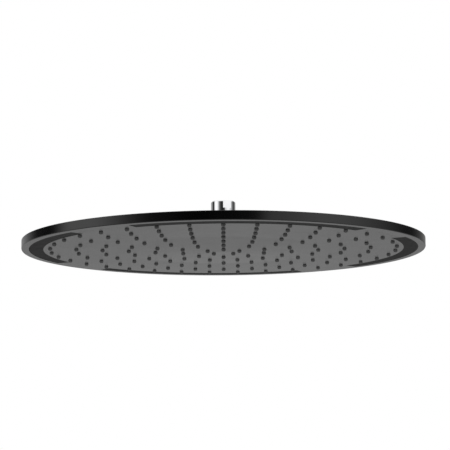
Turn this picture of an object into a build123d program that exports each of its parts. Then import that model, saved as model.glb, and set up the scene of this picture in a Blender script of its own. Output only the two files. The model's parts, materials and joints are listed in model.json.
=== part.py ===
from build123d import *
import os
from math import acos, asin, cos, degrees, pi, radians, sin, sqrt

# Round rain shower head on a ball joint, in millimetres.
# Heights are worked out from the flat underside of the face, which is height 0.
# The finished pieces are then lowered, so that the origin is the centre of the inlet's mouth
# and +Z points up out of it.

# Edge ring
HEAD_RADIUS = 200.0
EDGE_HEIGHT = 8.7
EDGE_WALL = 2.4
LEDGE_WIDTH = 2.2
LIP_WIDTH = 14.4
LIP_THICKNESS = 1.8
LOWER_BEVEL_HEIGHT = 0.6
LOWER_BEVEL_INSET = 0.25
UPPER_CHAMFER = 0.4

# Spray plate
PLATE_THICKNESS = 2.2
FLANGE_WIDTH = 6.4
POCKET_STEP = 6.6
PARTING_GAP = 0.2
CROWN_RADIUS = 97.0
CROWN_DROP = 1.4
CROWN_FLAT = 4.0

# Arc channels across the parting line, and the soft strips in them
CHANNEL_COUNT = 4
CHANNEL_WIDTH = 14.2
CHANNEL_DEPTH = 1.2
LAND_ANGLE = 20.5
FIRST_LAND = -36.6
INSERT_THICKNESS = 1.0
INSERT_CLEARANCE = 0.1

# Nozzle mat: ring number k has (k + 1) times NOZZLES_PER_STEP nubs, the first on the -Y line
RING_COUNT = 7
NOZZLES_PER_STEP = 5
FIRST_RING_RADIUS = 16.55
OUTER_RING_MARGIN = 6.7
MAT_THICKNESS = 1.2
MAT_CLEARANCE = 0.4
NUB_ROOT_RADIUS = 2.45
NUB_TIP_RADIUS = 1.75
NUB_HEIGHT = 1.9
NUB_SIDES = 8
NUB_CLEARANCE = 0.1

# Water chamber
CHAMBER_GAP = 1.6
LID_THICKNESS = 1.4
LID_RIM_HEIGHT = 2.0
LID_MARGIN = 2.5
LID_STEP = 3.5
SEAL_THICKNESS = 0.6
SEAL_WIDTH = 5.0
SEAL_MARGIN = 0.5
LID_BOSS_RISE = 3.0
LID_BOSS_MARGIN = 5.0
RIB_COUNT = 10
RIB_THICKNESS = 1.6
RIB_INNER_HEIGHT = 3.0
RIB_OUTER_HEIGHT = 0.8
RIB_END_MARGIN = 10.0

# Ball joint
BALL_RADIUS = 11.0
NECK_RADIUS = 6.0
WATERWAY_RADIUS = 4.4
TILT_LIMIT = 12.0
TILT_CLEARANCE = 0.3
SLIP_RING_WALL = 1.95
SLIP_RING_MARGIN_ANGLE = 2.0
SLIP_RING_END = 86.0
RUNNING_CLEARANCE = 0.05
CUP_UNDERCUT = 0.6
CUP_CLEARANCE = 0.4
SEAL_CLEARANCE = 0.2
SEAL_FIT = 0.1
SEAL_BORE_RADIUS = 7.5
BALL_ABOVE_HUB = 3.2

# Hub and the nuts on it
HUB_FLANGE_WIDTH = 6.0
HUB_FLANGE_THICKNESS = 2.5
HUB_BORE_RADIUS = 7.0
HUB_HOLE_CLEARANCE = 0.1
HUB_SEAL_WIDTH = 1.6
HUB_SEAL_THICKNESS = 1.2
HUB_SEAL_CLEARANCE = 0.1
WASHER_THICKNESS = 1.0
WASHER_WIDTH = 6.0
HUB_NUT_HEIGHT = 4.0
HUB_NUT_FLATS = 34.0
NUT_WALL = 3.2
NUT_SKIRT_GAP = 0.4
NUT_ENGAGEMENT = 4.2
NUT_FLANGE_WIDTH = 3.8
NUT_FLANGE_THICKNESS = 2.0
NUT_SHOULDER = 2.8
NUT_LIP_WIDTH = 1.3
NUT_LIP_RISE = 0.5
NUT_FLAT_DEPTH = 1.4

# Top cover
COVER_WALL = 2.2
COVER_BOSS = 0.6
COVER_STEP = 0.2
COVER_CLEARANCE = 0.2
COVER_HOLE_CLEARANCE = 0.3
COVER_LAND_WIDTH = 5.5

# Inlet collar with a G 1/2 thread, plain at its major diameter
THREAD_MAJOR_DIAMETER = 20.955
COLLAR_WALL = 1.6725
COLLAR_HEIGHT = 14.0
COLLAR_CLEARANCE = 0.6
COLLAR_FLOOR = 2.4
COLLAR_CHAMFER = 1.1
COLLAR_FOOT_CHAMFER = 0.5
COLLAR_FLAT_DEPTH = 0.75
COLLAR_FLAT_HEIGHT = 7.6
COLLAR_FLAT_ANGLE = -70.2
STEM_FIT = 0.05
COLLAR_SEAL_WIDTH = 1.4
COLLAR_SEAL_THICKNESS = 1.2
INSERT_STEP = 0.8775
INSERT_FIT = 0.1
REGULATOR_THICKNESS = 1.8
REGULATOR_DISH = 0.8
REGULATOR_RIM = 2.4
REGULATOR_HOLES = 6
REGULATOR_HOLE_RADIUS = 0.8
REGULATOR_HOLE_CIRCLE = 2.7
SCREEN_THICKNESS = 0.4
SCREEN_RISE = 1.5
FILTER_WASHER_THICKNESS = 1.6
FILTER_WASHER_WIDTH = 3.0

# Radii worked out from the sizes above
face_radius = HEAD_RADIUS - LIP_WIDTH
pocket_radius = face_radius - POCKET_STEP
mat_radius = pocket_radius - MAT_CLEARANCE
flange_radius = face_radius + FLANGE_WIDTH
lid_radius = flange_radius - LID_MARGIN
seal_inner = pocket_radius + SEAL_MARGIN
seal_outer = seal_inner + SEAL_WIDTH
outer_ring_radius = mat_radius - OUTER_RING_MARGIN
ring_pitch = (outer_ring_radius - FIRST_RING_RADIUS) / (RING_COUNT - 1)
channel_inner = face_radius - CHANNEL_WIDTH / 2
channel_outer = face_radius + CHANNEL_WIDTH / 2
cover_radius = HEAD_RADIUS - EDGE_WALL - COVER_CLEARANCE
ledge_radius = HEAD_RADIUS - EDGE_WALL - LEDGE_WIDTH

slip_inner = BALL_RADIUS + RUNNING_CLEARANCE
slip_outer = slip_inner + SLIP_RING_WALL
seat_radius = slip_outer + RUNNING_CLEARANCE
hub_radius = seat_radius - RUNNING_CLEARANCE
hub_flange_radius = hub_radius + HUB_FLANGE_WIDTH
hub_hole_radius = hub_radius + HUB_HOLE_CLEARANCE
cup_radius = BALL_RADIUS - CUP_UNDERCUT
nut_radius = seat_radius + NUT_WALL
nut_flange_radius = nut_radius + NUT_FLANGE_WIDTH
cover_hole_radius = nut_radius + COVER_HOLE_CLEARANCE
cover_land_radius = cover_hole_radius + COVER_LAND_WIDTH
thread_radius = THREAD_MAJOR_DIAMETER / 2
collar_radius = thread_radius + COLLAR_WALL
insert_pocket_radius = thread_radius - INSERT_STEP
insert_radius = insert_pocket_radius - INSERT_FIT

# Heights worked out from the sizes above, from the face up to the inlet's mouth
mat_top = PLATE_THICKNESS + MAT_THICKNESS
lid_under = mat_top + CHAMBER_GAP
lid_top = lid_under + LID_THICKNESS
boss_under = lid_under + LID_BOSS_RISE
boss_top = boss_under + LID_THICKNESS
washer_top = boss_top + WASHER_THICKNESS
hub_nut_top = washer_top + HUB_NUT_HEIGHT
cover_land = hub_nut_top + COVER_BOSS + COVER_WALL
cover_rim_top = EDGE_HEIGHT - COVER_STEP
ledge_height = cover_rim_top - COVER_WALL
skirt_bottom = hub_nut_top + NUT_SKIRT_GAP
hub_top = skirt_bottom + NUT_ENGAGEMENT
ball_height = hub_top + BALL_ABOVE_HUB

# The two tilts together lean the neck furthest, and the nut's opening and the collar clear that lean
full_tilt = acos(cos(radians(TILT_LIMIT)) ** 2)
opening_angle = degrees(full_tilt + asin((NECK_RADIUS + TILT_CLEARANCE) / seat_radius))
slip_start = opening_angle + TILT_LIMIT + SLIP_RING_MARGIN_ANGLE
opening_radius = seat_radius * sin(radians(opening_angle))
opening_height = seat_radius * cos(radians(opening_angle))
lip_height = opening_height + NUT_LIP_RISE
lip_inner = opening_radius + NUT_LIP_RISE * sin(full_tilt) / cos(full_tilt)
lip_outer = lip_inner + NUT_LIP_WIDTH
lip_reach = lip_height * cos(full_tilt) + lip_outer * sin(full_tilt)
collar_bottom = ball_height + lip_reach + COLLAR_CLEARANCE
collar_floor = collar_bottom + COLLAR_FLOOR
inlet_height = collar_bottom + COLLAR_HEIGHT
regulator_top = collar_floor + REGULATOR_THICKNESS
screen_top = regulator_top + SCREEN_THICKNESS
thread_end = screen_top + FILTER_WASHER_THICKNESS


def turned(*stops, arc=360):
    """Turns a closed (radius, height) outline round Z. A stop of two points is an arc's middle and end."""
    edges = []
    at = stops[0]
    for stop in stops[1:] + stops[:1]:
        if isinstance(stop[0], tuple):
            middle, end = stop
            edges.append(ThreePointArc(at, middle, end))
            at = end
        else:
            edges.append(Line(at, stop))
            at = stop
    return revolve(Plane.XZ * make_face(edges), Axis.Z, arc)


def on_ball(radius, polar):
    """The point of a sphere round the ball's centre, at an angle in degrees from the upward axis."""
    return (radius * sin(radians(polar)), ball_height + radius * cos(radians(polar)))


def ball_arc(radius, start, end):
    """The middle and end of an arc round the ball's centre, between two angles from the upward axis."""
    return (on_ball(radius, (start + end) / 2), on_ball(radius, end))


def face_height(radius):
    """Height of the face's underside, which drops a little towards the middle."""
    inside = max(0.0, CROWN_RADIUS - max(radius, CROWN_FLAT))
    return -CROWN_DROP * inside / (CROWN_RADIUS - CROWN_FLAT)


def dome(radius, rim_radius, rim_height, land_height):
    """Height of the cover's dome, which falls from the flat land to the rim."""
    fall = (rim_radius**2 - radius**2) / (rim_radius**2 - cover_land_radius**2)
    return rim_height + fall * (land_height - rim_height)


def flats(across, bottom, top, angle):
    """Two blocks that leave a pair of wrench flats between them."""
    block = Box(across, 2 * across, top - bottom, align=(Align.MIN, Align.CENTER, Align.MIN))
    side = Pos(across / 2, 0, bottom) * block
    return [Rot(0, 0, angle) * side, Rot(0, 0, angle + 180) * side]


def nub(root, tip, top, bottom):
    """A tapered nub with flat sides, from its root down to its tip."""
    corners = []
    for side in range(NUB_SIDES):
        turn = 2 * pi * side / NUB_SIDES
        corners.append((root * cos(turn), root * sin(turn), top))
        corners.append((tip * cos(turn), tip * sin(turn), bottom))
    return ConvexPolyhedron(corners)


def nozzle_field(clearance):
    """One nub at every nozzle, grown by the clearance all round."""
    field = []
    for ring in range(RING_COUNT):
        radius = FIRST_RING_RADIUS + ring * ring_pitch
        tip_height = face_height(radius) - NUB_HEIGHT
        shape = nub(NUB_ROOT_RADIUS + clearance, NUB_TIP_RADIUS + clearance, PLATE_THICKNESS, tip_height)
        count = NOZZLES_PER_STEP * (ring + 1)
        for place in PolarLocations(radius, count, start_angle=-90):
            field.append(place * shape)
    return field


def arc_band(inner, outer, bottom, top, number, trim):
    """One of the arcs between the lands, shortened by the trim at both ends."""
    trim_angle = degrees(trim / inner)
    span = 360 / CHANNEL_COUNT - LAND_ANGLE - 2 * trim_angle
    start = FIRST_LAND + number * 360 / CHANNEL_COUNT + LAND_ANGLE / 2 + trim_angle
    band = turned((inner, bottom), (outer, bottom), (outer, top), (inner, top), arc=span)
    return Rot(0, 0, start) * band


def channels():
    return [
        arc_band(channel_inner, channel_outer, -CHANNEL_DEPTH, CHANNEL_DEPTH, number, 0)
        for number in range(CHANNEL_COUNT)
    ]


def make_edge_ring():
    lip_inner_radius = face_radius + PARTING_GAP / 2
    wall_radius = HEAD_RADIUS - EDGE_WALL
    ring = turned(
        (lip_inner_radius, 0),
        (HEAD_RADIUS - LOWER_BEVEL_INSET, 0),
        (HEAD_RADIUS, LOWER_BEVEL_HEIGHT),
        (HEAD_RADIUS, EDGE_HEIGHT - UPPER_CHAMFER),
        (HEAD_RADIUS - UPPER_CHAMFER, EDGE_HEIGHT),
        (wall_radius, EDGE_HEIGHT),
        (wall_radius, ledge_height),
        (ledge_radius, ledge_height),
        (ledge_radius, LIP_THICKNESS),
        (lip_inner_radius, LIP_THICKNESS),
    )
    return ring - channels()


def make_spray_plate():
    edge = face_radius - PARTING_GAP / 2
    plate = turned(
        (0, face_height(0)),
        (CROWN_FLAT, face_height(CROWN_FLAT)),
        (CROWN_RADIUS, 0),
        (edge, 0),
        (edge, LIP_THICKNESS),
        (flange_radius, LIP_THICKNESS),
        (flange_radius, mat_top),
        (pocket_radius, mat_top),
        (pocket_radius, PLATE_THICKNESS),
        (0, PLATE_THICKNESS),
    )
    return plate - nozzle_field(NUB_CLEARANCE) - channels()


def make_nozzle_mat():
    sheet = turned((0, PLATE_THICKNESS), (mat_radius, PLATE_THICKNESS), (mat_radius, mat_top), (0, mat_top))
    return sheet + nozzle_field(0)


def make_arc_insert(number):
    inner = channel_inner + INSERT_CLEARANCE
    outer = channel_outer - INSERT_CLEARANCE
    return arc_band(inner, outer, CHANNEL_DEPTH - INSERT_THICKNESS, CHANNEL_DEPTH, number, INSERT_CLEARANCE)


def make_chamber_lid():
    boss_radius = hub_flange_radius + LID_BOSS_MARGIN
    boss_foot = boss_radius + LID_BOSS_RISE
    rim_inner = pocket_radius
    rim_top = mat_top + LID_RIM_HEIGHT
    step_radius = rim_inner + LID_STEP / 2
    lid = turned(
        (hub_hole_radius, boss_under),
        (boss_radius, boss_under),
        (boss_foot, lid_under),
        (rim_inner, lid_under),
        (rim_inner, mat_top + SEAL_THICKNESS),
        (seal_outer, mat_top + SEAL_THICKNESS),
        (seal_outer, mat_top),
        (lid_radius, mat_top),
        (lid_radius, rim_top),
        (step_radius, rim_top),
        (step_radius - LID_STEP, lid_top),
        (boss_foot + LID_THICKNESS, lid_top),
        (boss_radius + LID_THICKNESS, boss_top),
        (hub_hole_radius, boss_top),
    )
    return lid + ribs(boss_foot, step_radius - LID_STEP - RIB_END_MARGIN)


def ribs(inner, outer):
    """Radial ribs rooted in the lid, lower towards the edge."""
    root = lid_top - LID_THICKNESS / 2
    side = Polyline(
        (inner, root),
        (outer, root),
        (outer, lid_top + RIB_OUTER_HEIGHT),
        (inner, lid_top + RIB_INNER_HEIGHT),
        close=True,
    )
    rib = extrude(Plane.XZ * make_face(side.edges()), RIB_THICKNESS / 2, both=True)
    return [Rot(0, 0, 360 * number / RIB_COUNT) * rib for number in range(RIB_COUNT)]


def make_chamber_seal():
    top = mat_top + SEAL_THICKNESS
    return turned((seal_inner, mat_top), (seal_outer, mat_top), (seal_outer, top), (seal_inner, top))


def make_top_cover():
    """A shell with a round dome outside, and inside it cones that keep to its wall."""
    boss_radius = cover_hole_radius + COVER_LAND_WIDTH / 2
    land_under = cover_land - COVER_WALL
    middle = (cover_radius + cover_land_radius) / 2
    third = (ledge_radius - cover_land_radius) / 3
    inner_radii = (cover_land_radius, cover_land_radius + third, ledge_radius - third, ledge_radius)
    return turned(
        (cover_hole_radius, hub_nut_top),
        (boss_radius, hub_nut_top),
        (boss_radius, land_under),
        *[(radius, dome(radius, ledge_radius, ledge_height, land_under)) for radius in inner_radii],
        (cover_radius, ledge_height),
        (cover_radius, cover_rim_top),
        ((middle, dome(middle, cover_radius, cover_rim_top, cover_land)), (cover_land_radius, cover_land)),
        (cover_hole_radius, cover_land),
    )


def hub_seal_middle():
    return (hub_radius + hub_flange_radius) / 2


def make_hub():
    flange_bottom = boss_under - HUB_FLANGE_THICKNESS
    cup_floor = ball_height - BALL_RADIUS - SEAL_CLEARANCE
    ball_room = BALL_RADIUS + CUP_CLEARANCE
    flare = sqrt(ball_room**2 - BALL_ABOVE_HUB**2)
    flare_foot = ball_height - sqrt(ball_room**2 - cup_radius**2) - CUP_CLEARANCE
    groove_inner = hub_seal_middle() - HUB_SEAL_WIDTH / 2 - HUB_SEAL_CLEARANCE
    groove_outer = hub_seal_middle() + HUB_SEAL_WIDTH / 2 + HUB_SEAL_CLEARANCE
    groove_floor = boss_under - HUB_SEAL_THICKNESS
    return turned(
        (HUB_BORE_RADIUS, flange_bottom),
        (hub_flange_radius, flange_bottom),
        (hub_flange_radius, boss_under),
        (groove_outer, boss_under),
        (groove_outer, groove_floor),
        (groove_inner, groove_floor),
        (groove_inner, boss_under),
        (hub_radius, boss_under),
        (hub_radius, hub_top),
        (flare, hub_top),
        (cup_radius, flare_foot),
        (cup_radius, cup_floor),
        (HUB_BORE_RADIUS, cup_floor),
    )


def make_hub_seal():
    inner = hub_seal_middle() - HUB_SEAL_WIDTH / 2
    outer = hub_seal_middle() + HUB_SEAL_WIDTH / 2
    floor = boss_under - HUB_SEAL_THICKNESS
    return turned((inner, floor), (outer, floor), (outer, boss_under), (inner, boss_under))


def make_hub_washer():
    outer = hub_hole_radius + WASHER_WIDTH
    return turned(
        (hub_hole_radius, boss_top),
        (outer, boss_top),
        (outer, washer_top),
        (hub_hole_radius, washer_top),
    )


def make_hub_nut():
    hexagon = RegularPolygon(HUB_NUT_FLATS / 2, 6, major_radius=False)
    ring = hexagon - Circle(hub_radius + RUNNING_CLEARANCE)
    return Pos(0, 0, washer_top) * extrude(ring, HUB_NUT_HEIGHT)


def make_retaining_nut():
    flange_top = cover_land + NUT_FLANGE_THICKNESS
    shoulder = ball_height + NUT_SHOULDER
    lip_top = ball_height + lip_height
    nut = turned(
        (seat_radius, skirt_bottom),
        (nut_radius, skirt_bottom),
        (nut_radius, cover_land),
        (nut_flange_radius, cover_land),
        (nut_flange_radius, flange_top),
        (nut_radius, flange_top),
        (nut_radius, shoulder),
        (lip_outer, lip_top),
        (lip_inner, lip_top),
        (opening_radius, ball_height + opening_height),
        ball_arc(seat_radius, opening_angle, 90),
    )
    return nut - flats(2 * (nut_radius - NUT_FLAT_DEPTH), flange_top, lip_top, COLLAR_FLAT_ANGLE)


def make_slip_ring():
    return turned(
        on_ball(slip_outer, slip_start),
        ball_arc(slip_outer, slip_start, SLIP_RING_END),
        on_ball(slip_inner, SLIP_RING_END),
        ball_arc(slip_inner, SLIP_RING_END, slip_start),
    )


def make_ball_seal():
    floor = ball_height - BALL_RADIUS - SEAL_CLEARANCE
    outer = cup_radius - SEAL_FIT
    face = BALL_RADIUS + SEAL_CLEARANCE
    outer_angle = 180 - degrees(asin(outer / face))
    bore_angle = 180 - degrees(asin(SEAL_BORE_RADIUS / face))
    return turned(
        (SEAL_BORE_RADIUS, floor),
        (outer, floor),
        on_ball(face, outer_angle),
        ball_arc(face, outer_angle, bore_angle),
    )


def make_ball_stem():
    bore_angle = 180 - degrees(asin(WATERWAY_RADIUS / BALL_RADIUS))
    neck_angle = degrees(asin(NECK_RADIUS / BALL_RADIUS))
    return turned(
        on_ball(BALL_RADIUS, bore_angle),
        ball_arc(BALL_RADIUS, bore_angle, neck_angle),
        (NECK_RADIUS, collar_floor),
        (WATERWAY_RADIUS, collar_floor),
    )


def collar_groove_floor():
    return collar_bottom + (COLLAR_FLOOR - COLLAR_SEAL_THICKNESS) / 2


def make_inlet_collar():
    hole = NECK_RADIUS + STEM_FIT
    groove = hole + COLLAR_SEAL_WIDTH
    groove_floor = collar_groove_floor()
    collar = turned(
        (hole, collar_bottom),
        (collar_radius - COLLAR_FOOT_CHAMFER, collar_bottom),
        (collar_radius, collar_bottom + COLLAR_FOOT_CHAMFER),
        (collar_radius, inlet_height - COLLAR_CHAMFER),
        (collar_radius - COLLAR_CHAMFER, inlet_height),
        (thread_radius, inlet_height),
        (thread_radius, thread_end),
        (insert_pocket_radius, thread_end),
        (insert_pocket_radius, collar_floor),
        (hole, collar_floor),
        (hole, groove_floor + COLLAR_SEAL_THICKNESS),
        (groove, groove_floor + COLLAR_SEAL_THICKNESS),
        (groove, groove_floor),
        (hole, groove_floor),
    )
    across = 2 * (collar_radius - COLLAR_FLAT_DEPTH)
    return collar - flats(across, inlet_height - COLLAR_FLAT_HEIGHT, inlet_height, COLLAR_FLAT_ANGLE)


def make_collar_seal():
    inner = NECK_RADIUS + STEM_FIT
    outer = inner + COLLAR_SEAL_WIDTH
    floor = collar_groove_floor()
    top = floor + COLLAR_SEAL_THICKNESS
    return turned((inner, floor), (outer, floor), (outer, top), (inner, top))


def make_flow_regulator():
    dish = regulator_top - REGULATOR_DISH
    body = turned(
        (0, collar_floor),
        (insert_radius, collar_floor),
        (insert_radius, regulator_top),
        (insert_radius - REGULATOR_RIM, regulator_top),
        (insert_radius - REGULATOR_RIM - REGULATOR_DISH, dish),
        (0, dish),
    )
    hole = Pos(0, 0, collar_floor) * Cylinder(
        REGULATOR_HOLE_RADIUS, REGULATOR_THICKNESS, align=(Align.CENTER, Align.CENTER, Align.MIN)
    )
    return body - [place * hole for place in PolarLocations(REGULATOR_HOLE_CIRCLE, REGULATOR_HOLES)]


def make_filter_screen():
    """A top-hat sieve whose brim lies under the washer."""
    mouth = insert_radius - FILTER_WASHER_WIDTH
    crown = mouth - SCREEN_RISE
    top = screen_top + SCREEN_RISE
    return turned(
        (0, top - SCREEN_THICKNESS),
        (crown - SCREEN_THICKNESS, top - SCREEN_THICKNESS),
        (mouth - SCREEN_THICKNESS, regulator_top),
        (insert_radius, regulator_top),
        (insert_radius, screen_top),
        (mouth, screen_top),
        (crown, top),
        (0, top),
    )


def make_filter_washer():
    inner = insert_radius - FILTER_WASHER_WIDTH
    return turned(
        (inner, screen_top),
        (insert_radius, screen_top),
        (insert_radius, thread_end),
        (inner, thread_end),
    )


pieces = {
    "inlet_collar": make_inlet_collar(),
    "ball_stem": make_ball_stem(),
    "collar_seal": make_collar_seal(),
    "flow_regulator": make_flow_regulator(),
    "filter_screen": make_filter_screen(),
    "filter_washer": make_filter_washer(),
    "slip_ring": make_slip_ring(),
    "ball_seal": make_ball_seal(),
    "retaining_nut": make_retaining_nut(),
    "hub": make_hub(),
    "hub_seal": make_hub_seal(),
    "hub_washer": make_hub_washer(),
    "hub_nut": make_hub_nut(),
    "top_cover": make_top_cover(),
    "edge_ring": make_edge_ring(),
    "spray_plate": make_spray_plate(),
    "nozzle_mat": make_nozzle_mat(),
    "chamber_lid": make_chamber_lid(),
    "chamber_seal": make_chamber_seal(),
}
for number in range(CHANNEL_COUNT):
    pieces[f"arc_insert_{number + 1}"] = make_arc_insert(number)

os.makedirs("parts", exist_ok=True)
for name, piece in pieces.items():
    export_step(Pos(0, 0, -inlet_height) * piece, f"parts/{name}.step")
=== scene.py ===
import json
from math import cos, pi, radians, sin, sqrt

import bpy
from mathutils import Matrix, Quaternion, Vector


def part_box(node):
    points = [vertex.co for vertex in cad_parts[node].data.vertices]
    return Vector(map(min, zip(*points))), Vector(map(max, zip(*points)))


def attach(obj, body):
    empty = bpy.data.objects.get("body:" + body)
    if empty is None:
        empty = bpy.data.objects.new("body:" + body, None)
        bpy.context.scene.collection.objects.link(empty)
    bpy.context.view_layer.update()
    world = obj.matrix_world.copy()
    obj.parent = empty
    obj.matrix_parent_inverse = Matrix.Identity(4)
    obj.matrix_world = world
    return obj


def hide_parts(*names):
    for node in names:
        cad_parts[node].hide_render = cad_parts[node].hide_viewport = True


# Round rain shower head on a ball joint. Lengths are in metres and angles in degrees.
MM = 0.001

# Camera: in front of the head and below it, looking up at the face. The lens is in millimetres.
CAMERA_DISTANCE = 1.7975
CAMERA_ELEVATION = -7.87
CAMERA_ROLL = 0.44
CAMERA_LENS = 144.5
AIM_SIDE = 1.64 * MM
AIM_RISE = 25.8 * MM

# Floor, well below the hanging head
FLOOR_DROP = 3.0
FLOOR_RADIUS = 9.0
FLOOR_SEGMENTS = 96

# Light tent: an oval wall round the head, with its heights measured from the face
TENT_HALF_WIDTH = 0.75
TENT_HALF_DEPTH = 0.42
TENT_BOTTOM = -0.40
TENT_MIDDLE = -0.03
TENT_TOP = 0.45
TENT_SEGMENTS = 96

# Light on the tent's wall: (angle round from the camera's side, positive to the right, level)
UPPER_LIGHT = (
    (-180, 0.43),
    (-130, 0.38),
    (-111, 0.035),
    (-98, 0.025),
    (-80, 1.13),
    (-66, 1.28),
    (-28, 0.075),
    (-10, 0.01),
    (4, 0.04),
    (13, 0.08),
    (20, 0.76),
    (45, 1.1),
    (112, 0.05),
    (145, 0.32),
    (180, 0.43),
)
LOWER_LIGHT = (
    (-180, 0.37),
    (-150, 0.345),
    (-95, 0.53),
    (95, 0.53),
    (150, 0.355),
    (180, 0.37),
)

# The range in which most of a noise value lies
NOISE_LOW = 0.3
NOISE_HIGH = 0.7

# Nozzles: each ring has NOZZLES_PER_STEP nubs more than the ring inside it, the first on the -Y line
RING_COUNT = 7
NOZZLES_PER_STEP = 5
FIRST_RING_RADIUS = 16.55 * MM
OUTER_RING_MARGIN = 6.7 * MM
NUB_SEGMENTS = 20
SHEET_SEGMENTS = 128

# Crown: inside CROWN_RADIUS the face slopes down to a flat middle
CROWN_RADIUS = 97.0 * MM
CROWN_FLAT = 4.0 * MM

# A nub's outline in millimetres, as (radius, height below the face): its bore, its round tip,
# and its side with the bead on the face
SHEET_DEPTH = -2.20
NUB_BORE = (
    (0.00, 0.60),
    (0.46, 0.60),
    (0.52, 1.78),
)
TIP_END = (0.70, 1.90)
TIP_SHOULDER = (1.90, 0.85)
TIP_STEPS = 5
NUB_SIDE = (
    (2.02, 0.30),
    (2.12, 0.14),
    (2.30, 0.06),
    (2.28, -0.05),
    (1.93, -0.05),
    (2.20, SHEET_DEPTH),
    (2.20, -2.60),
    (0.00, -2.60),
)

# G 1/2 thread, whose foot is sunk in the wall, and whose depth ends at a small share of the full one
THREAD_PITCH = 1.814 * MM
THREAD_DEPTH = 1.16 * MM
THREAD_CREST = 0.30 * MM
THREAD_ROOT = 1.50 * MM
THREAD_SINK = 0.02 * MM
THREAD_LEAD = 1.1 * MM
THREAD_RUNOUT_TURNS = 0.2
THREAD_END_SHARE = 0.02
THREAD_STEPS_PER_TURN = 72

# Woven wire sieve in the inlet, a top hat whose brim is under the washer
SIEVE_BRIM = 3.0 * MM
SIEVE_SEGMENTS = 64
WIRE_PITCH = 0.65 * MM
WIRE_RADIUS = 0.11 * MM
WIRE_SIDES = 6
WIRE_STEPS_PER_PITCH = 4
WIRE_LEAST_STEPS = 2


def add_mesh(name, points, faces, smooth=True):
    mesh = bpy.data.meshes.new(name)
    mesh.from_pydata(points, [], faces)
    mesh.validate()
    if smooth:
        mesh.shade_smooth()
    piece = bpy.data.objects.new(name, mesh)
    bpy.context.scene.collection.objects.link(piece)
    return piece


def join(points, faces, more_points, more_faces):
    """Adds another shape to a mesh's points and faces."""
    first = len(points)
    points.extend(more_points)
    faces.extend(tuple(first + corner for corner in face) for face in more_faces)


def turned(outline, segments):
    """Points and faces of an outline of (radius, height) turned round Z, closed at the axis.

    The outline runs upwards along the outside, so that the faces look outwards.
    """
    points = []
    rings = []
    for radius, height in outline:
        if radius == 0:
            rings.append([len(points)] * segments)
            points.append((0.0, 0.0, height))
            continue
        rings.append(list(range(len(points), len(points) + segments)))
        for step in range(segments):
            turn = 2 * pi * step / segments
            points.append((radius * cos(turn), radius * sin(turn), height))
    faces = []
    for ring, following in zip(rings, rings[1:]):
        for step in range(segments):
            after = (step + 1) % segments
            corners = [ring[step], ring[after], following[after], following[step]]
            faces.append(tuple(dict.fromkeys(corners)))
    return points, faces


def tube(loops):
    """Points and faces of a tube through loops of points, closed over both ends."""
    corners = len(loops[0])
    points = [point for loop in loops for point in loop]
    faces = [tuple(reversed(range(corners)))]
    for start in range(0, len(points) - corners, corners):
        for corner in range(corners):
            this = start + corner
            beside = start + (corner + 1) % corners
            faces.append((this, beside, beside + corners, this + corners))
    faces.append(tuple(range(len(points) - corners, len(points))))
    return points, faces


def new_material(name):
    material = bpy.data.materials.new(name)
    material.use_nodes = True
    return material


def node_link(material):
    return material.node_tree.nodes, material.node_tree.links


def noise(material, scale, detail=2):
    """A noise value fixed to the piece, with its scale in waves per metre."""
    nodes, links = node_link(material)
    place = nodes.new("ShaderNodeTexCoord")
    texture = nodes.new("ShaderNodeTexNoise")
    texture.inputs["Scale"].default_value = scale
    texture.inputs["Detail"].default_value = detail
    links.new(place.outputs["Object"], texture.inputs["Vector"])
    return texture.outputs["Fac"]


def ranged(material, value, low, high):
    """A noise value spread from low to high."""
    nodes, links = node_link(material)
    spread = nodes.new("ShaderNodeMapRange")
    spread.inputs["From Min"].default_value = NOISE_LOW
    spread.inputs["From Max"].default_value = NOISE_HIGH
    spread.inputs["To Min"].default_value = low
    spread.inputs["To Max"].default_value = high
    links.new(value, spread.inputs["Value"])
    return spread.outputs["Result"]


def tinted(material, value, dark, light):
    """A colour between dark and light, led by a noise value."""
    nodes, links = node_link(material)
    ramp = nodes.new("ShaderNodeValToRGB")
    first, last = ramp.color_ramp.elements
    first.position = NOISE_LOW
    first.color = (*dark, 1.0)
    last.position = NOISE_HIGH
    last.color = (*light, 1.0)
    links.new(value, ramp.inputs["Fac"])
    return ramp.outputs["Color"]


def bumped(material, value, depth):
    """A normal with a noise value as a bump of that depth."""
    nodes, links = node_link(material)
    bump = nodes.new("ShaderNodeBump")
    bump.inputs["Distance"].default_value = depth
    links.new(value, bump.inputs["Height"])
    return bump.outputs["Normal"]


def surface(
    name,
    dark,
    light,
    tint_scale,
    roughness,
    rough_scale,
    tint_detail=2,
    rough_detail=2,
    grain_scale=0,
    grain_depth=0.0,
    **constants,
):
    """A material whose colour, roughness and grain change over the piece.

    A constant is named after its socket on the shader, with _ for a space.
    """
    material = new_material(name)
    nodes, links = node_link(material)
    shader = nodes["Principled BSDF"]
    tint = noise(material, tint_scale, tint_detail)
    links.new(tinted(material, tint, dark, light), shader.inputs["Base Color"])
    rub = noise(material, rough_scale, rough_detail)
    links.new(ranged(material, rub, *roughness), shader.inputs["Roughness"])
    if grain_scale:
        grain = noise(material, grain_scale)
        links.new(bumped(material, grain, grain_depth), shader.inputs["Normal"])
    for socket, level in constants.items():
        shader.inputs[socket.replace("_", " ")].default_value = level
    return material


def satin_black():
    """Moulded black plastic with a satin skin."""
    return surface(
        "satin_black_plastic",
        dark=(0.0016, 0.0016, 0.0017),
        light=(0.0024, 0.0024, 0.0025),
        tint_scale=30,
        roughness=(0.14, 0.18),
        rough_scale=55,
        rough_detail=4,
        grain_scale=2600,
        grain_depth=0.0006 * MM,
    )


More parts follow.
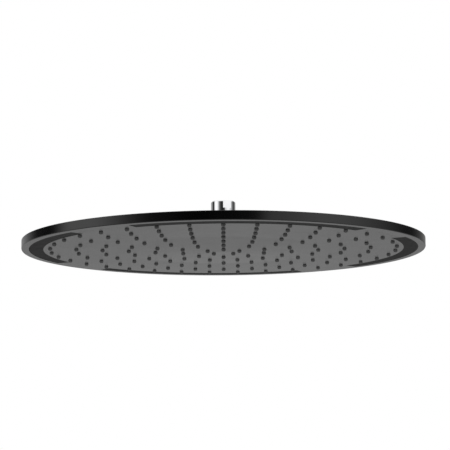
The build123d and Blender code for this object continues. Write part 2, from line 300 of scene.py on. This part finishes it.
def silicone(name, dark, light):
    """Soft grey silicone, dull, with a faint bloom."""
    return surface(
        name,
        dark=(dark, dark, dark),
        light=(light, light, light),
        tint_scale=90,
        tint_detail=4,
        roughness=(0.72, 0.84),
        rough_scale=400,
        grain_scale=1500,
        grain_depth=0.004 * MM,
        Specular_IOR_Level=0.15,
    )


def black_rubber():
    """Dull black rubber of the seals."""
    return surface(
        "black_rubber_seal",
        dark=(0.012, 0.012, 0.012),
        light=(0.024, 0.023, 0.022),
        tint_scale=300,
        tint_detail=4,
        roughness=(0.55, 0.75),
        rough_scale=900,
        grain_scale=2500,
        grain_depth=0.01 * MM,
    )


def chrome():
    """Bright chrome plate with a slightly uneven polish."""
    return surface(
        "chrome_plate",
        dark=(0.80, 0.81, 0.83),
        light=(0.88, 0.88, 0.89),
        tint_scale=60,
        roughness=(0.03, 0.07),
        rough_scale=700,
        rough_detail=4,
        grain_scale=160,
        grain_depth=0.001 * MM,
        Metallic=1.0,
    )


def brass():
    """Turned brass of the hub and its nut."""
    return surface(
        "turned_brass",
        dark=(0.62, 0.42, 0.16),
        light=(0.78, 0.57, 0.26),
        tint_scale=250,
        tint_detail=4,
        roughness=(0.22, 0.36),
        rough_scale=800,
        rough_detail=4,
        grain_scale=1200,
        grain_depth=0.003 * MM,
        Metallic=1.0,
    )


def white_plastic():
    """White acetal of the slip ring and the flow regulator."""
    return surface(
        "white_acetal",
        dark=(0.74, 0.74, 0.72),
        light=(0.80, 0.80, 0.78),
        tint_scale=120,
        roughness=(0.35, 0.45),
        rough_scale=500,
        grain_scale=1500,
        grain_depth=0.003 * MM,
    )


def dark_plastic():
    """Dark moulding of the chamber's lid."""
    return surface(
        "dark_moulding",
        dark=(0.018, 0.018, 0.019),
        light=(0.028, 0.028, 0.029),
        tint_scale=80,
        roughness=(0.42, 0.52),
        rough_scale=600,
        grain_scale=1800,
        grain_depth=0.006 * MM,
    )


def stainless_steel():
    """Stainless steel of the sieve and the hub's washer."""
    return surface(
        "stainless_wire",
        dark=(0.54, 0.54, 0.53),
        light=(0.66, 0.66, 0.65),
        tint_scale=400,
        roughness=(0.24, 0.34),
        rough_scale=1500,
        grain_scale=2500,
        grain_depth=0.001 * MM,
        Metallic=1.0,
    )


def dress(piece, material):
    piece.data.materials.clear()
    piece.data.materials.append(material)


def dress_nodes(frame, materials):
    """Gives each CAD node the finish of the slot that it came with."""
    for node in frame["nodes"].values():
        for place in node.material_slots:
            place.material = materials[place.material.name]


def face_drop(radius, drop):
    """How far the crowned face hangs below its flat rim at a radius."""
    inside = max(0.0, CROWN_RADIUS - max(radius, CROWN_FLAT))
    return drop * inside / (CROWN_RADIUS - CROWN_FLAT)


def nub_tip():
    """The round tip of a nub: a quarter of an ellipse from its end to its shoulder."""
    across = TIP_SHOULDER[0] - TIP_END[0]
    down = TIP_END[1] - TIP_SHOULDER[1]
    turns = [pi / 2 * step / TIP_STEPS for step in range(TIP_STEPS + 1)]
    return [(TIP_END[0] + across * sin(turn), TIP_SHOULDER[1] + down * cos(turn)) for turn in turns]


def make_nozzle_mat(face, material):
    """The soft sheet with its round nubs, each with a bead on the face and a bore in its tip."""
    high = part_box("nozzle_mat")[1]
    crown_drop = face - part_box("spray_plate")[0].z
    outer_ring = high.x - OUTER_RING_MARGIN
    pitch = (outer_ring - FIRST_RING_RADIUS) / (RING_COUNT - 1)
    outline = [*NUB_BORE, *nub_tip(), *NUB_SIDE]
    nub, nub_faces = turned([(radius * MM, -depth * MM) for radius, depth in outline], NUB_SEGMENTS)
    under = face - SHEET_DEPTH * MM
    sheet = [(0.0, under), (high.x, under), (high.x, high.z), (0.0, high.z)]
    points, faces = turned(sheet, SHEET_SEGMENTS)
    for ring in range(RING_COUNT):
        radius = FIRST_RING_RADIUS + ring * pitch
        base = face - face_drop(radius, crown_drop)
        count = NOZZLES_PER_STEP * (ring + 1)
        for number in range(count):
            turn = 2 * pi * number / count - pi / 2
            middle_x = radius * cos(turn)
            middle_y = radius * sin(turn)
            placed = [(middle_x + x, middle_y + y, base + z) for x, y, z in nub]
            join(points, faces, placed, nub_faces)
    mat = add_mesh("nozzle_mat_round", points, faces)
    dress(mat, material)
    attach(mat, "head")
    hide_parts("nozzle_mat")


def thread_section(wall, depth):
    """The ridge's section as (radius, height from its middle)."""
    foot = wall + THREAD_SINK
    crest = wall - depth
    return (
        (foot, -THREAD_ROOT / 2),
        (crest, -THREAD_CREST / 2),
        (crest, THREAD_CREST / 2),
        (foot, THREAD_ROOT / 2),
    )


def make_inlet_thread(frame, material):
    """The thread's ridge in the mouth of the collar, run out at both ends."""
    mount = frame["record"]["mounts"][0]["dims"]
    wall = mount["r_mm"] * MM
    length = mount["length_mm"] * MM
    turns = (length - 2 * THREAD_LEAD) / THREAD_PITCH
    loops = []
    for step in range(int(turns * THREAD_STEPS_PER_TURN) + 1):
        turn = step / THREAD_STEPS_PER_TURN
        runout = min(turn, turns - turn) / THREAD_RUNOUT_TURNS
        depth = THREAD_DEPTH * min(1.0, max(THREAD_END_SHARE, runout))
        middle = -length + THREAD_LEAD + turn * THREAD_PITCH
        across = cos(2 * pi * turn)
        along = sin(2 * pi * turn)
        section = thread_section(wall, depth)
        loops.append([(radius * across, radius * along, middle + height) for radius, height in section])
    thread = add_mesh("inlet_thread", *tube(loops), smooth=False)
    dress(thread, material)
    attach(thread, "inlet")


def wire(offset, reach, height_at, weave):
    """Points and faces of one wire along X, which weaves up and down from pitch to pitch."""
    half = sqrt(reach**2 - offset**2)
    steps = max(WIRE_LEAST_STEPS, round(2 * half / WIRE_PITCH * WIRE_STEPS_PER_PITCH))
    turns = [2 * pi * side / WIRE_SIDES for side in range(WIRE_SIDES)]
    round_wire = [(WIRE_RADIUS * cos(turn), WIRE_RADIUS * sin(turn)) for turn in turns]
    loops = []
    for step in range(steps + 1):
        along = half * (2 * step / steps - 1)
        height = height_at(sqrt(along**2 + offset**2)) + weave * cos(pi * along / WIRE_PITCH)
        loops.append([(along, offset + y, height + z) for y, z in round_wire])
    return tube(loops)


def make_sieve(material):
    """The woven wire sieve in the inlet: two layers of wires over and under each other, and a brim."""
    low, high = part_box("filter_screen")
    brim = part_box("filter_washer")[0].z
    mouth = high.x - SIEVE_BRIM
    crown = high.z - brim
    ring = [(mouth, low.z), (high.x, low.z), (high.x, brim), (mouth, brim), (mouth, low.z)]
    points, faces = turned(ring, SIEVE_SEGMENTS)
    count = int(mouth / WIRE_PITCH)
    reach = mouth + 2 * WIRE_RADIUS

    def cloth_height(radius):
        """Middle of the cloth: flat on the crown, and sloping down to the brim."""
        return brim + min(crown, max(0.0, mouth - radius)) - 2 * WIRE_RADIUS

    for number in range(-count, count + 1):
        offset = number * WIRE_PITCH
        weave = WIRE_RADIUS if number % 2 else -WIRE_RADIUS
        join(points, faces, *wire(offset, reach, cloth_height, weave))
        across, across_faces = wire(offset, reach, cloth_height, -weave)
        join(points, faces, [(-y, x, z) for x, y, z in across], across_faces)
    sieve = add_mesh("wire_sieve", points, faces)
    dress(sieve, material)
    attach(sieve, "inlet")
    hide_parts("filter_screen")


def make_world():
    """White all round, for the camera and for reflections alike."""
    world = bpy.data.worlds.new("white_studio")
    bpy.context.scene.world = world
    world.use_nodes = True
    world.node_tree.nodes["Background"].inputs["Color"].default_value = (1.0, 1.0, 1.0, 1.0)


def turn_share(material):
    """Where a point lies round the Z axis: 0.5 on the camera's side, 0 and 1 at the back."""
    nodes, links = node_link(material)
    place = nodes.new("ShaderNodeTexCoord")
    split = nodes.new("ShaderNodeSeparateXYZ")
    links.new(place.outputs["Object"], split.inputs["Vector"])
    front = nodes.new("ShaderNodeMath")
    front.operation = "MULTIPLY"
    front.inputs[1].default_value = -1.0
    links.new(split.outputs["Y"], front.inputs[0])
    azimuth = nodes.new("ShaderNodeMath")
    azimuth.operation = "ARCTAN2"
    links.new(split.outputs["X"], azimuth.inputs[0])
    links.new(front.outputs["Value"], azimuth.inputs[1])
    share = nodes.new("ShaderNodeMapRange")
    share.inputs["From Min"].default_value = -pi
    share.inputs["From Max"].default_value = pi
    links.new(azimuth.outputs["Value"], share.inputs["Value"])
    return share.outputs["Result"]


def tent_light(name, light):
    """A glow whose level changes round the Z axis."""
    material = new_material(name)
    nodes, links = node_link(material)
    nodes.clear()
    levels = nodes.new("ShaderNodeValToRGB")
    levels.color_ramp.interpolation = "EASE"
    stops = levels.color_ramp.elements
    while len(stops) < len(light):
        stops.new(0.5)
    for stop, (angle, level) in zip(stops, light):
        stop.position = (angle + 180) / 360
        stop.color = (level, level, level, 1.0)
    links.new(turn_share(material), levels.inputs["Fac"])
    glow = nodes.new("ShaderNodeEmission")
    links.new(levels.outputs["Color"], glow.inputs["Color"])
    output = nodes.new("ShaderNodeOutputMaterial")
    links.new(glow.outputs["Emission"], output.inputs["Surface"])
    return material


def make_tent_wall(name, low, high, light):
    """A band of soft boxes and dark cloth round the head, which the camera looks through."""
    points = []
    faces = []
    for step in range(TENT_SEGMENTS):
        turn = 2 * pi * step / TENT_SEGMENTS
        x = TENT_HALF_WIDTH * sin(turn)
        y = -TENT_HALF_DEPTH * cos(turn)
        points.extend([(x, y, low), (x, y, high)])
        this = 2 * step
        following = 2 * ((step + 1) % TENT_SEGMENTS)
        faces.append((this, following, following + 1, this + 1))
    wall = add_mesh(name, points, faces)
    wall.visible_camera = False
    dress(wall, tent_light(name, light))


def make_floor(face):
    """A plain pale round floor."""
    height = face - FLOOR_DROP
    floor = add_mesh("floor", *turned([(FLOOR_RADIUS, height), (0.0, height)], FLOOR_SEGMENTS))
    material = surface(
        "floor",
        dark=(0.81, 0.81, 0.81),
        light=(0.83, 0.83, 0.83),
        tint_scale=3,
        roughness=(0.85, 0.95),
        rough_scale=20,
    )
    dress(floor, material)


def make_camera(face):
    """A camera that looks up at the head, aimed a little above the face."""
    middle = Vector((0.0, 0.0, face))
    lean = radians(CAMERA_ELEVATION)
    data = bpy.data.cameras.new("camera")
    data.lens = CAMERA_LENS
    camera = bpy.data.objects.new("camera", data)
    camera.location = middle + CAMERA_DISTANCE * Vector((0.0, -cos(lean), sin(lean)))
    target = middle + Vector((AIM_SIDE, 0.0, AIM_RISE))
    aim = (target - camera.location).to_track_quat("-Z", "Y")
    camera.rotation_mode = "QUATERNION"
    camera.rotation_quaternion = aim @ Quaternion((0.0, 0.0, 1.0), radians(-CAMERA_ROLL))
    bpy.context.scene.collection.objects.link(camera)
    bpy.context.scene.camera = camera


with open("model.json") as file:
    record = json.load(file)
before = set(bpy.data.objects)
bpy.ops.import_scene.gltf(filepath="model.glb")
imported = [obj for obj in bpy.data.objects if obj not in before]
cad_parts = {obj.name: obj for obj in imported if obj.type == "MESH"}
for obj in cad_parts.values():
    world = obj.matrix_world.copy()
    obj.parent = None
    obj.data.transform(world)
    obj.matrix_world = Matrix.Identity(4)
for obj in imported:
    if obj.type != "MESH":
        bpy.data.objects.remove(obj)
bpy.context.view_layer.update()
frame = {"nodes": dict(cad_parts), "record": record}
face_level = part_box("edge_ring")[0].z

materials = {
    "satin_black": satin_black(),
    "silicone": silicone("dark_silicone", dark=0.016, light=0.023),
    "black_rubber": black_rubber(),
    "chrome": chrome(),
    "brass": brass(),
    "white_plastic": white_plastic(),
    "dark_plastic": dark_plastic(),
    "stainless_steel": stainless_steel(),
}
dress_nodes(frame, materials)
# The nubs get a painted lighter copy of the strips' silicone. Their paler colour is painted light,
# standing in for the light that the plate keeps off their sides.
make_nozzle_mat(face_level, silicone("nozzle_silicone_painted_lighter", dark=0.088, light=0.105))
make_inlet_thread(frame, materials["chrome"])
make_sieve(materials["stainless_steel"])

make_world()
make_tent_wall("tent_upper", face_level + TENT_MIDDLE, face_level + TENT_TOP, UPPER_LIGHT)
make_tent_wall("tent_lower", face_level + TENT_BOTTOM, face_level + TENT_MIDDLE, LOWER_LIGHT)
make_floor(face_level)
make_camera(face_level)
bpy.context.scene.view_settings.view_transform = "Standard"
